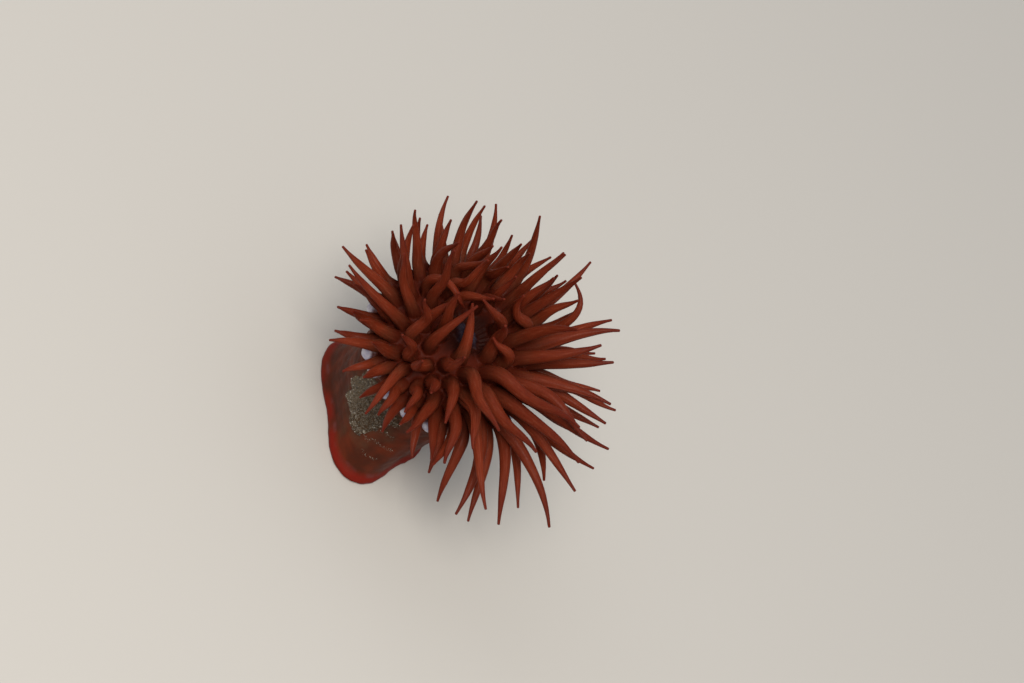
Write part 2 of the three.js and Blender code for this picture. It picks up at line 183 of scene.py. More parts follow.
# The body's sizes and posture, as in the solids
body = {
    "footRadius": 9.5, "footFlare": 0.8, "waist": 9.9, "neck": 11.4, "columnHeight": 15.6,
    "collarRadius": 13.0, "collarHeight": 3.0,
    "shoulderInner": 3.4, "shoulderWidth": 9.6, "shoulderRise": 5.2,
    "discSink": 0.8, "lipRadius": 1.45, "lipStretch": 1.45,
    "leanFar": 3.2, "tipNear": 10, "tipLeft": 4, "gripHeight": 0.6,
    "footWaves": [(2, 0.14, -41), (3, 0.12, -68), (4, 0.03, -70), (5, 0.04, -57)],  # count, share, azimuth
}
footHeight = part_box("foot")[1].z * mm
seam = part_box("column")[0].z * mm - footHeight
crownHeight = footHeight + seam + body["columnHeight"] + seam
shoulderFoot = crownHeight + body["collarHeight"]


def crownTurn(share):
    near = Matrix.Rotation(math.radians(body["tipNear"] * share), 4, "X")
    left = Matrix.Rotation(math.radians(-body["tipLeft"] * share), 4, "Y")
    return left @ near


crownMatrix = Matrix.Translation((0, body["leanFar"], crownHeight)) @ crownTurn(1)


def poseBody(point):  # stands a point of the straight, round body in the animal's own posture
    bend = smooth((point.z - footHeight) / (body["columnHeight"] + 2 * seam))
    azimuth = math.atan2(point.y, point.x)
    grip = 1 - smooth(point.z / (footHeight + body["gripHeight"] * body["columnHeight"]))
    share = 1
    for count, amount, turn in body["footWaves"]:
        share += grip * amount * math.cos(count * (azimuth - math.radians(turn)))
    height = min(point.z, crownHeight)
    across = crownTurn(bend) @ Vector((point.x * share, point.y * share, point.z - height))
    return across + Vector((0, body["leanFar"] * bend, height))


def shoulderPoint(azimuth, angle):  # on the crown, before it is posed
    a, turn = math.radians(angle), math.radians(azimuth)
    radius = body["shoulderInner"] + body["shoulderWidth"] * math.sin(a)
    height = body["collarHeight"] + body["shoulderRise"] * math.cos(a)
    return Vector((radius * math.cos(turn), radius * math.sin(turn), height))


def crownDirection(azimuth, lift):
    flat, turn = math.cos(math.radians(lift)), math.radians(azimuth)
    way = Vector((flat * math.cos(turn), flat * math.sin(turn), math.sin(math.radians(lift))))
    return crownMatrix.to_3x3() @ way


# Tentacles: where each one grows and how it runs
cycles = [  # count, first azimuth, angle down the shoulder, length, radius
    (6, 0, 7, 16.5, 1.15), (12, 15, 20, 17.0, 1.15), (12, 0, 33, 17.0, 1.12), (12, 15, 41, 16.8, 1.12),
    (24, 7.5, 54, 16.0, 1.08), (24, 0, 70, 14.8, 1.02), (24, 7.5, 85, 13.4, 0.95),
]
spread = [  # azimuth, lean and reach of the innermost and outermost, sweep, tip lift, unrest, girth
    (0, (30, 4), (1.12, 0.98), 0, -6, 0.7, 1.06), (28, (42, 12), (0.96, 0.84), -5, -4, 0.8, 1.08),
    (55, (70, 22), (0.92, 0.76), -2, 4, 1.0, 1.0), (90, (108, 40), (0.86, 0.66), 0, 8, 1.3, 0.9),
    (130, (110, 34), (0.86, 0.64), 6, 8, 1.3, 0.86), (165, (104, 34), (0.88, 0.58), -4, 8, 1.2, 0.84),
    (200, (84, 12), (0.95, 0.56), -6, -4, 1.0, 0.92), (235, (92, 4), (0.84, 0.46), -4, -4, 1.2, 0.96),
    (270, (74, -4), (0.8, 0.5), 0, 0, 1.3, 0.94), (300, (60, -8), (0.84, 0.56), 6, -4, 1.1, 1.05),
    (330, (34, -14), (1.1, 1.0), 6, -12, 0.8, 1.08),
]
bearings = {  # a few tentacles with a bearing of their own, by cycle and azimuth
    (5, 60): dict(lean=78, tip=-70, sweep=0, tipSweep=110, wave=0, reach=0.95),
    (2, 180): dict(lean=118, tip=110, sweep=0, tipSweep=0, wave=0, reach=0.72),
    (2, 60): dict(lean=140, tip=-50, sweep=-10, tipSweep=-30, wave=0, reach=0.8),
    (1, 255): dict(lean=100, tip=30, sweep=0, tipSweep=10, wave=0, reach=0.8),
    (1, 225): dict(lean=98, tip=10, sweep=0, tipSweep=0, wave=0, reach=0.6),
}
tips = {  # where the most visible of the others end: x, y and z, by cycle and azimuth
    (0, 0): (2, -2.5, 39), (0, 60): (-3, -3, 39), (0, 300): (-3.6, -1.3, 35),
    (1, 15): (2, -1, 34), (1, 45): (9, 4, 44), (2, 30): (13, 12, 38), (3, 15): (21, 9, 35),
    (3, 45): (13, 17, 38), (3, 225): (-19, -12, 30), (4, 7.5): (26, 3, 35), (4, 52.5): (11, 18, 37),
    (4, 97.5): (-8, 14, 42), (4, 202.5): (-22, -8, 27), (4, 262.5): (0, -20, 22),
    (4, 322.5): (22, -15, 25), (4, 337.5): (30, -7, 25), (4, 352.5): (28, -3, 30), (5, 0): (27, 1, 32),
    (5, 75): (2, 24, 35), (5, 150): (-19, 13, 30), (5, 240): (-12, -16, 21), (5, 315): (12, -18, 25),
    (5, 330): (20, -15, 19), (5, 345): (25, -13, 23), (6, 7.5): (24, -3, 26),
    (6, 322.5): (17, -12, 14), (6, 337.5): (22, -13, 18), (6, 352.5): (25, -6, 21),
}
growth = {
    "stations": 20, "samples": 200, "clearance": 0.26, "uprightness": 1.5,
    "neck": 0.65, "swell": 0.08, "taper": 0.74, "fullness": 1.1, "tipRadius": 0.28,
    "turnOut": 0.4, "curlFrom": 0.35, "sideSway": 0.6, "leave": 0.32, "stray": 0.14,
    "lean": 11, "sweep": 10, "reach": 0.12, "wave": 15, "girth": 0.06, "inner": 1.6,
    "rounds": 70, "firmness": 0.5, "evening": 0.35, "freeFrom": 2, "lookAgain": 5, "lookFor": 2.0,
}
stations = growth["stations"]


def spreadAt(azimuth, outward):
    turn = azimuth % 360
    k = max(i for i, row in enumerate(spread) if row[0] <= turn)
    start, end = spread[k], spread[(k + 1) % len(spread)]
    t = smooth((turn - start[0]) / ((end[0] - start[0]) % 360))
    graded = [mix(mix(*start[i], outward), mix(*end[i], outward), t) for i in (1, 2)]
    return graded + [mix(start[i], end[i], t) for i in (3, 4, 5, 6)]


def listTentacles():
    tentacles = []
    for order, (count, first, angle, length, radius) in enumerate(cycles):
        outward = (order / (len(cycles) - 1)) ** growth["uprightness"]
        for i in range(count):
            place, number = first + 360 / count * i, len(tentacles) + 1
            lean, reach, sweep, tip, unrest, girth = spreadAt(place, outward)
            unrest *= mix(growth["inner"], 1, outward)
            stray = {name: unrest * scatter(number, name) for name in purposes}
            way = bearings.get((order, place)) or dict(
                lean=lean + growth["lean"] * stray["lean"], tip=tip + growth["lean"] * stray["tip"],
                sweep=sweep + growth["sweep"] * stray["sweep"], tipSweep=growth["wave"] * stray["side"],
                wave=growth["wave"] * stray["wave"], reach=reach * (1 + growth["reach"] * stray["reach"]))
            t = dict(way, number=number, angle=angle, azimuth=place + scatter(number, "azimuth"),
                     radius=radius * girth * (1 + growth["girth"] * scatter(number, "girth")),
                     length=length * way["reach"])
            if (order, place) in tips:
                t["course"] = courseTo(t, Vector(tips[order, place]))
                t["length"] = sum((b - a).length for a, b in zip(t["course"], t["course"][1:]))
            tentacles.append(t)
    return tentacles


def courseTo(t, end):  # a curve that leaves the shoulder straight outwards and ends at the given tip
    root = crownMatrix @ shoulderPoint(t["azimuth"], t["angle"])
    gap = (end - root).length
    leave = root + crownDirection(t["azimuth"], 90 - t["angle"]) * (gap * growth["leave"])
    aside = crownDirection(t["azimuth"] + 90, 0) * (gap * growth["stray"] * scatter(t["number"], "side"))
    bend = (leave + end) / 2 + aside
    curve = []
    for j in range(growth["samples"] + 1):
        u = j / growth["samples"]
        a, b, c, d = (1 - u) ** 3, 3 * u * (1 - u) ** 2, 3 * u * u * (1 - u), u ** 3
        curve.append(root * a + leave * b + bend * c + end * d)
    steps = [0]
    for before, after in zip(curve, curve[1:]):
        steps.append(steps[-1] + (after - before).length)
    points, k = [root], 0
    for j in range(1, stations):
        goal = steps[-1] * j / stations
        while steps[k + 1] < goal:
            k += 1
        points.append(curve[k].lerp(curve[k + 1], (goal - steps[k]) / (steps[k + 1] - steps[k])))
    return points + [end]


def radiusAt(tentacle, s):
    neck = mix(growth["neck"], 1, smooth(s / growth["swell"]))
    slim = 1 - growth["taper"] * s ** growth["fullness"]
    return max(growth["tipRadius"], tentacle["radius"] * neck * slim)


def sketch(t):  # the first line of a tentacle, from its root along its lean, sweep and curl
    if "course" in t:
        return t["course"]
    point = crownMatrix @ shoulderPoint(t["azimuth"], t["angle"])
    points = [point.copy()]
    for j in range(stations):
        s = (j + 0.5) / stations
        turnOut = smooth(s / growth["turnOut"])
        curl = smooth((s - growth["curlFrom"]) / (1 - growth["curlFrom"]))
        sway = t["wave"] * math.sin(2 * math.pi * s) * turnOut
        lift = mix(90 - t["angle"], t["lean"], turnOut) + t["tip"] * curl + sway
        turn = t["azimuth"] + t["sweep"] * turnOut + t["tipSweep"] * curl + growth["sideSway"] * sway
        point = point + crownDirection(turn, lift) * (t["length"] / stations)
        points.append(point)
    return points


tiny = 1e-9  # keeps divisions from dividing by nothing


def bodyPush(points, radii):  # how far points must move to stay clear of the collar and shoulder
    turn = np.array(crownMatrix.to_3x3())
    local = (points - np.array(crownMatrix.translation)) @ turn
    out = np.hypot(local[:, 0], local[:, 1]) + tiny
    need = radii + growth["clearance"]
    upward = local[:, 2] - body["collarHeight"]
    sideways = np.maximum(0, out - body["shoulderInner"])
    share = np.hypot(sideways / body["shoulderWidth"], upward / body["shoulderRise"])
    reach = np.hypot(sideways, upward) + tiny
    onTop = np.maximum(0, need - (share - 1) * body["shoulderRise"])
    beside = np.maximum(0, body["collarRadius"] + need - out)
    low = upward < 0
    across = np.where(low, beside, onTop * sideways / reach) / out
    rise = np.where(low, 0, onTop * upward / reach)
    push = np.column_stack([local[:, 0] * across, local[:, 1] * across, rise])
    return push @ turn.T


def settle(tentacles):  # pushes crowded tentacles apart and off the body, over a set number of rounds
    first = np.array([[tuple(p) for p in sketch(t)] for t in tentacles])
    radii = np.array([[radiusAt(t, j / stations) for j in range(1, stations + 1)] for t in tentacles])
    steps = np.array([t["length"] / stations for t in tentacles])[:, None]
    owner, reach = np.repeat(np.arange(len(tentacles)), stations), radii.ravel()
    lines, free = first.copy(), growth["freeFrom"]
    for turn in range(growth["rounds"]):
        points = lines[:, 1:].reshape(-1, 3)
        if turn % growth["lookAgain"] == 0:
            near = nearPairs(points, owner, reach)
        away = points[near[0]] - points[near[1]]
        gap = np.linalg.norm(away, axis=1)
        lack = np.maximum(0, reach[near[0]] + reach[near[1]] + growth["clearance"] - gap)
        push = away * (growth["firmness"] * lack / (gap + tiny))[:, None]
        moves = np.zeros_like(points)
        np.add.at(moves, near[0], push)
        moves = moves.reshape(len(tentacles), stations, 3)
        hold = bodyPush(points, reach).reshape(moves.shape)
        moves[:, free:] += hold[:, free:]
        shifts = lines - first
        shifts[:, free:] += moves[:, free - 1:]
        evened = shifts.copy()
        middle = (shifts[:, free - 1:-2] + shifts[:, free + 1:]) / 2
        evened[:, free:-1] += (middle - evened[:, free:-1]) * growth["evening"]
        for j in range(free, stations + 1):
            way = first[:, j] + evened[:, j] - lines[:, j - 1]
            lines[:, j] = lines[:, j - 1] + way / np.linalg.norm(way, axis=1)[:, None] * steps
    return [[Vector(p) for p in line] for line in lines]


def nearPairs(points, owner, reach):  # points of different tentacles that may come to touch
    squares = (points ** 2).sum(axis=1)
    distances = squares[:, None] + squares[None] - 2 * points @ points.T
    limit = (reach[:, None] + reach[None] + growth["clearance"] + growth["lookFor"]) ** 2
    return np.nonzero((distances < limit) & (owner[:, None] != owner[None]))


def pointOn(line, s):  # a smooth curve through the points of a line
    last = len(line) - 1
    x = min(max(s, 0), 1) * last
    k = min(int(x), last - 1)
    t = x - k
    a, b, c, d = (line[min(max(k + i, 0), last)] for i in (-1, 0, 1, 2))
    slope, curve, twist = c - a, 2 * a - 5 * b + 4 * c - d, 3 * b - a - 3 * c + d
    return (2 * b + slope * t + curve * t * t + twist * t ** 3) / 2


tentacles = listTentacles()
lines = settle(tentacles)
print("tentacles settled:", len(tentacles))


# The skin
skin = {
    "columns": 144, "rowStep": 0.45, "lipStep": 0.22, "lipReach": 0.5, "columnRows": 9, "samples": 900,
    "weld": 1e-4,
    "fold": 0.09, "foldLength": 1.5, "foldBend": 2.5, "lowFolds": 0.35, "furrow": 0.05, "furrows": 24,
    "bend": 1.6, "bendSize": 3.1, "lump": 0.16, "lumpSize": 5.0, "rimScallop": 0.14, "scallopSize": 1.1,
    "discRay": 0.09, "lipPleat": 0.09, "lipPleats": 12,
    "sideFrom": 9, "lipTo": 1.7,  # radii outside and inside which the body's side and its lip lie
    "discRise": 3,  # above the shoulder's foot
    "fades": {  # where each relief starts and over how far it comes in, in shares or millimetres
        "column": (0, 0.12), "collar": (0.98, 0.06), "crowd": (0.45, 0.5),
        "rimTop": (0.3, 1.8), "rimIn": (9.6, 0.8), "discIn": (1.7, 0.5), "discOut": (3, 1),
        "lipIn": (0.3, 0.3), "point": (0.7, 0.3), "fill": (0, 0.16),
    },
    "rootFlare": 1.22, "rootLow": 0.9, "flareHeight": 1.5, "rootFill": 0.97, "thickness": 1.06,
    "unevenness": 0.05, "bulges": 5, "bulgeShift": 3.7, "point": 0.36,
    "rings": 24, "tipRings": 4, "rootCrowding": 0.35, "tipGap": 0.6, "wayStep": 0.02,
}
profile = {  # the body's outline, mostly in steps out and up from a corner of it
    "sole": [0, 3, 6, 8.5, 9.5],  # radii
    "rim": [(-0.32, 0.02), (-0.06, 0.22), (0, 0.55), (-0.12, 0.95)],
    "rimTop": [(0.3, 1.45), (0.06, 1.95)],
    "neck": [(0.1, -0.2), (0.6, 0.25)],
    "collar": [(-0.25, 0.85), (0, 1.5)],
    "ledge": [(-0.2, -0.75), (-0.55, -0.45), (-0.25, -0.1)],
    "shoulder": [84, 75, 66, 57, 48, 39, 30, 21, 12, 4],  # degrees from its top
    "disc": [2.9, 2.2],  # radii
    "lip": [(0.12, -0.45), (-0.04, -0.05), (-0.3, 0.4), (-0.62, 0.48), (-0.92, 0.15), (-1.08, -0.5),
            (-1.15, -1.4), (-1.25, -2.1)],
    "throat": 2.3,
}


def columnRadius(up):  # up is 0 at the column's foot and 1 at its top
    foot, neck = body["footRadius"], body["neck"]
    return mix(foot, neck, up) - math.sin(math.pi * up) * ((foot + neck) / 2 - body["waist"])


def outline():  # radius and height, from the middle of the foot up the side and into the mouth
    foot, neck, collar, top = body["footRadius"], body["neck"], body["collarRadius"], shoulderFoot
    inner, brim, rows = body["shoulderInner"], shoulderFoot + body["shoulderRise"], skin["columnRows"]
    points = [(radius, 0) for radius in profile["sole"]]

    def trace(name, radius, height):
        points.extend((radius + out, height + up) for out, up in profile[name])

    trace("rim", foot + body["footFlare"], 0)
    trace("rimTop", foot, 0)
    points.append((foot, footHeight + seam))
    for i in range(1, rows):
        points.append((columnRadius(i / rows), footHeight + seam + body["columnHeight"] * i / rows))
    trace("neck", neck, crownHeight)
    trace("collar", collar, crownHeight)
    trace("ledge", collar, top)
    for angle in profile["shoulder"]:
        a = math.radians(angle)
        out, up = body["shoulderWidth"] * math.sin(a), body["shoulderRise"] * math.cos(a)
        points.append((inner + out, top + up))
    for radius in profile["disc"]:
        points.append((radius, brim - body["discSink"] * math.cos(math.pi / 2 * radius / inner)))
    trace("lip", body["lipRadius"], brim)
    points.append((0, brim - profile["throat"]))
    return [Vector(point) for point in points]


def evenly(keys):  # points along the outline, closer together round the lip
    dense = [pointOn(keys, i / skin["samples"]) for i in range(skin["samples"] + 1)]
    points, gone = [dense[0]], 0
    for before, after in zip(dense, dense[1:]):
        gone += (after - before).length
        fine = after.x < body["lipRadius"] + skin["lipReach"] and after.y > shoulderFoot
        if gone >= (skin["lipStep"] if fine else skin["rowStep"]):
            points.append(after)
            gone = 0
    points[-1] = dense[-1]
    return [Vector((max(0, p.x), max(0, p.y))) for p in points]


sand = {  # where sand and slime cling to the near side of the column: azimuths, heights, half sizes
    "azimuth": 266, "height": 11.4, "wide": 4.9, "high": 5.2, "ragged": 0.5, "raggedSize": 2.4,
    "fine": 0.5, "fineness": 2.7, "edge": 0.12, "thickness": 0.3,
    "grains": 3200, "smallest": 0.04, "largest": 0.15, "sink": 0.3, "seed": 12,
    "scattered": 1.4, "thinning": 0.25, "middle": 0.5, "middleTone": 0.78, "edgeTone": 1.08,
    "stretch": (0.6, 1.3), "corners": (0.8, 1.1),
    "trails": [(268, 290, 7.2, 90), (284, 303, 9.8, 70), (288, 312, 7.6, 90), (290, 306, 5.2, 50)],
    "trailWidth": 0.14, "trailSizes": (0.6, 1.4),
    "dark": (0.035, 0.024, 0.014), "dull": (0.13, 0.095, 0.06), "pale": (0.46, 0.42, 0.35),
    "dullTones": (0.0, 0.45), "paleTones": (0.7, 1.0), "flecks": 0.3, "fleckScale": 9000, "fleckDetail": 2,
}


def sandAt(azimuth, height):  # above 0 in the sandy patch, 1 in its middle
    turn = (math.degrees(azimuth) - sand["azimuth"] + 180) % 360 - 180
    across = math.radians(turn) * body["waist"]
    spot = Vector((across, height, 0)) / sand["raggedSize"]
    edge = sand["ragged"] * (noise.noise(spot) + sand["fine"] * noise.noise(spot * sand["fineness"]))
    return 1 - math.hypot(across / sand["wide"], (height - sand["height"]) / sand["high"]) + edge


def ramp(value, name):  # 0 where the fade of that name starts, 1 where it is over
    start, length = skin["fades"][name]
    return smooth((value - start) / length)


def relief(radius, height, azimuth):  # how far the skin stands out of the outline
    around = Vector((math.cos(azimuth), math.sin(azimuth), 0)) * radius
    spot = around + Vector((0, 0, height))
    up = (height - footHeight) / body["columnHeight"]
    outside, onTop = radius > skin["sideFrom"], height > shoulderFoot + skin["discRise"]

    onColumn = ramp(up, "column") * (1 - ramp(up, "collar")) * outside
    bend = skin["bend"] * noise.noise(spot / skin["bendSize"])
    folds = math.sin(2 * math.pi * height / skin["foldLength"] + skin["foldBend"] * bend)
    folds *= mix(skin["lowFolds"], 1, ramp(up, "crowd"))
    furrows = math.cos(skin["furrows"] * azimuth + bend)
    out = onColumn * (skin["fold"] * folds + skin["furrow"] * furrows)
    out += onColumn * skin["lump"] * noise.noise(spot / skin["lumpSize"])
    out += onColumn * sand["thickness"] * smooth(sandAt(azimuth, height) / sand["edge"])

    onRim = outside * (1 - ramp(height, "rimTop")) * ramp(radius, "rimIn")
    out += onRim * skin["rimScallop"] * noise.noise(around / skin["scallopSize"])
    onDisc = onTop * ramp(radius, "discIn") * (1 - ramp(radius, "discOut"))
    out += onDisc * skin["discRay"] * math.cos(skin["furrows"] * azimuth)
    onLip = onTop * (radius < skin["lipTo"]) * ramp(radius, "lipIn")
    return out + onLip * skin["lipPleat"] * math.cos(skin["lipPleats"] * azimuth)


def spinBody():
    bm = bmesh.new()
    verts = [bm.verts.new((p.x, 0, p.y)) for p in evenly(outline())]
    edges = [bm.edges.new(pair) for pair in zip(verts, verts[1:])]
    bmesh.ops.spin(bm, geom=verts + edges, axis=(0, 0, 1), cent=(0, 0, 0), angle=2 * math.pi,
                   steps=skin["columns"], use_merge=True)
    bmesh.ops.remove_doubles(bm, verts=bm.verts, dist=skin["weld"])
    bmesh.ops.recalc_face_normals(bm, faces=bm.faces)
    return bm


def markRoots(bm, mark):  # gives each face near a root to the tentacle that it is nearest to
    roots = [shoulderPoint(t["azimuth"], t["angle"]) + Vector((0, 0, crownHeight)) for t in tentacles]
    lowest = shoulderFoot - skin["rootLow"]
    for face in bm.faces:
        centre = face.calc_center_median()
        if centre.z < lowest or math.hypot(centre.x, centre.y) < body["shoulderInner"]:
            continue
        shares = [(centre - root).length / t["radius"] for root, t in zip(roots, tentacles)]
        nearest = min(range(len(shares)), key=shares.__getitem__)
        if shares[nearest] < skin["rootFlare"]:
            face[mark] = nearest + 1


def shapeBody(bm, straight, sandy):  # relief, the long mouth and the posture
    bm.normal_update()
    normals = [v.normal.copy() for v in bm.verts]
    for v, normal in zip(bm.verts, normals):
        radius, azimuth = math.hypot(v.co.x, v.co.y), math.atan2(v.co.y, v.co.x)
        v[straight] = v.co
        v[sandy] = sandAt(azimuth, v.co.z)
        point = v.co + normal * relief(radius, v.co.z, azimuth)
        if v.co.z > shoulderFoot:
            inward = smooth((radius - body["lipRadius"]) / (body["shoulderInner"] - body["lipRadius"]))
            point.x *= mix(body["lipStretch"], 1, inward)
        point.z = max(0, point.z)
        v.co = poseBody(point)


def frameAlong(line, s, last):  # turns the last side vector on to the line's way at s
    step = skin["wayStep"]
    way = (pointOn(line, s + step) - pointOn(line, s - step)).normalized()
    side = (last - way * last.dot(way)).normalized()
    return side, way.cross(side)


def mergeRoot(bm, mark, number):  # one face in place of a root's own, always from the same corner
    patch = [f for f in bm.faces if f[mark] == number]
    merged = bmesh.ops.dissolve_faces(bm, faces=patch)["region"][0]
    corners = list(merged.verts)
    first = min(range(len(corners)), key=lambda i: tuple(corners[i].co))
    bm.faces.remove(merged)
    root = bm.faces.new(corners[first:] + corners[:first])
    root[mark] = number
    return root


def growTentacles(bm, mark, share, odd, around):
    tops = [mergeRoot(bm, mark, number) for number in range(1, len(tentacles) + 1)]
    plans = [planTentacle(top, tentacles[top[mark] - 1], lines[top[mark] - 1]) for top in tops]
    plans = {top[mark]: plan for top, plan in zip(tops, plans)}
    for ring in range(1, skin["rings"] + skin["tipRings"] + 1):
        tops = bmesh.ops.extrude_discrete_faces(bm, faces=tops)["faces"]
        for top in tops:
            plan = plans[top[mark]]
            places, s = ringPlaces(plan, ring)
            for v, place, (side, up) in zip(top.verts, places, plan["turns"]):
                v.co = place
                v[share], v[odd] = s, plan["odd"]
                v[around] = (side, up, s * plan["tentacle"]["length"])
    poked = bmesh.ops.poke(bm, faces=tops)
    for v in poked["verts"]:
        v[share] = 1


def planTentacle(top, tentacle, line):
    way = (line[1] - line[0]).normalized()
    side = way.orthogonal().normalized()
    up = way.cross(side)
    centre = line[0]
    base = [v.co.copy() for v in top.verts]
    turns = []
    for place in base:
        x, y = (place - centre).dot(side), (place - centre).dot(up)
        size = math.hypot(x, y)
        turns.append((x / size, y / size))
    fill = sum(((place - centre) - way * (place - centre).dot(way)).length for place in base) / len(base)
    return {"tentacle": tentacle, "line": line, "base": base, "turns": turns, "side": side,
            "fill": fill * skin["rootFill"], "odd": 0.5 + 0.5 * scatter(tentacle["number"], "shade")}


def ringPlaces(plan, ring):
    tentacle, line, rings = plan["tentacle"], plan["line"], skin["rings"]
    length, endRadius = tentacle["length"], radiusAt(tentacle, 1) * skin["thickness"] * (1 - skin["point"])
    bodyEnd = 1 - endRadius / length
    if ring <= rings:
        crowding = skin["rootCrowding"]
        s = bodyEnd * (crowding * (ring / rings) ** 2 + (1 - crowding) * ring / rings)
        rounding, radius = 1, thicknessAt(plan, s)
    else:
        lean = math.pi / 2 * (ring - rings) / (skin["tipRings"] + skin["tipGap"])
        s = bodyEnd + endRadius / length * math.sin(lean)
        rounding, radius = math.cos(lean), thicknessAt(plan, bodyEnd)
    centre = pointOn(line, s)
    side, up = frameAlong(line, s, plan["side"])
    plan["side"] = side
    rise = 1 - max(0, 1 - s * length / skin["flareHeight"]) ** 2
    lift = centre - line[0]
    places = []
    for (x, y), start in zip(plan["turns"], plan["base"]):
        onCircle = centre + (side * x + up * y) * radius * rounding
        places.append((start + lift).lerp(onCircle, rise))
    return places, s


def thicknessAt(plan, s):
    tentacle = plan["tentacle"]
    slim = 1 - growth["taper"] * s ** growth["fullness"]
    full = max(growth["tipRadius"], tentacle["radius"] * slim) * skin["thickness"]
    full *= 1 - skin["point"] * ramp(s, "point")
    spot = Vector((s * skin["bulges"], tentacle["number"] * skin["bulgeShift"], 0))
    uneven = 1 + skin["unevenness"] * noise.noise(spot)
    return mix(min(plan["fill"], full), full, ramp(s, "fill")) * uneven


def makeSkin(material):
    bm = spinBody()
    mark = bm.faces.layers.int.new("mark")
    share = bm.verts.layers.float.new("share")
    odd = bm.verts.layers.float.new("odd")
    around = bm.verts.layers.float_vector.new("around")
    straight = bm.verts.layers.float_vector.new("straight")
    sandy = bm.verts.layers.float.new("sandy")
    markRoots(bm, mark)
    shapeBody(bm, straight, sandy)
    print("body spun:", len(bm.faces), "faces")
    growTentacles(bm, mark, share, odd, around)
    bm.faces.layers.int.remove(bm.faces.layers.int["mark"])
    piece = makeObject(bm, "anemone_skin", material, smoothed=True)
    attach(piece, "root")
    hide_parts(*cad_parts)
    print("skin grown:", len(piece.data.polygons), "faces")


fleshLook = {
    "column": (0.105, 0.018, 0.006), "columnDark": (0.056, 0.012, 0.005), "rim": (0.155, 0.009, 0.004),
    # disc and shoulder: painted shade, the crown's skin made dark where it lies between and under the
    # tentacles, darkest at the middle
    "limbus": (0.12, 0.038, 0.036), "disc": (0.026, 0.005, 0.003), "lips": (0.030, 0.022, 0.034),
    "shoulder": (0.064, 0.0085, 0.0035),
    # root: darker and greyer than the middle, partly the roots' own greyer tint and partly painted shade
    # between the crowded roots
    "root": (0.105, 0.023, 0.010), "middle": (0.15, 0.022, 0.0078), "tip": (0.095, 0.011, 0.0045),
    # painted highlights in the lighter streaks along the tentacles; painted shade in the darker streaks
    # between them, whose colour also gives some tentacles a darker tone at random
    "ridge": (0.26, 0.070, 0.038), "stain": (0.070, 0.009, 0.004),
    "sand": (0.075, 0.045, 0.026), "paleSand": (0.17, 0.125, 0.08), "slime": (0.075, 0.038, 0.020),
    "limbusHeight": 1.7, "coat": 0.1, "tentacleCoat": 0.5, "sandCoat": 0.8,
    "roughness": 0.52, "sandRoughness": 0.35,
    "ringPitch": 0.42, "ringWarp": 0.35, "ringDepth": 0.008, "wrinkleDepth": 0.05, "gritDepth": 0.35,
    "streakStretch": (1.5, 1.5, 0.22), "wrinkleStretch": (0.7, 0.7, 2.4),
    "noise": {  # scale for each millimetre, detail and roughness
        "column": (0.35, 4), "rim": (0.16, 2), "rimEdge": (0.6, 3), "limbus": (0.45, 2),
        "slime": (0.8, 4), "paleSand": (0.9, 3), "sand": (2.2, 4, 0.6),
        "tentacle": (1.6, 3), "streaks": (2.2, 3, 0.6), "ringWarp": (1.2, 2), "rings": (2.0, 2),
        "wrinkles": (0.9, 5, 0.6), "grit": (3.4, 3, 0.7), "gloss": (1.4, 3),
    },
    "edges": {  # where each mark begins and where it is full, in millimetres or shares
        "column": (0.35, 0.68), "rim": (1.38, 2.76), "rimPatch": (0.25, 0.5),
        "limbus": (0.1, 0.6), "limbusPatch": (0.45, 0.7), "slime": (-0.6, 0.1),
        "sand": (0.0, 0.1), "paleSand": (-1.0, -4.5),
        # the crown's painted shade deepens from the shoulder towards the middle
        "crown": (0.6, 2.6), "shoulder": (3.5, 6.5), "lips": (1.0, 2.2),
        # root: where the roots' painted shade and greyer tint give way to the middle colour
        "tentacle": (0.0, 0.05), "bare": (0.0, 0.22), "root": (0.1, 0.42), "tip": (0.6, 1.0),
        # the streaks' edges: painted highlight in the lighter ones, painted shade in the darker ones
        "ridge": (0.50, 0.75), "stain": (0.52, 0.74), "odd": (0.2, 1.0),
    },
    "amounts": {  # how strong each mark is, and how far noise moves an edge
        "rimEdge": 0.8, "limbus": 0.6, "slime": 0.5, "slimeEdge": 0.8, "sandEdge": 0.35,
        # the two streak amounts set the strength of the painted highlight and the painted shade
        "paleSandEdge": 3, "oddTone": 0.12, "tone": 0.16, "ridge": 0.45, "stain": 0.55, "odd": 0.35,
        "gloss": 0.16, "rings": 0.6,
    },
}
amounts = fleshLook["amounts"]


def clouds(vector, name):  # the flesh's noise of that name
    return grain(vector, *fleshLook["noise"][name])


def within(value, name):  # 0 to 1 across the flesh's edge of that name
    return between(value, *fleshLook["edges"][name])


def absolute(wire):
    return addNode(wire.tree, "Math", {"operation": "ABSOLUTE"}, {0: wire})


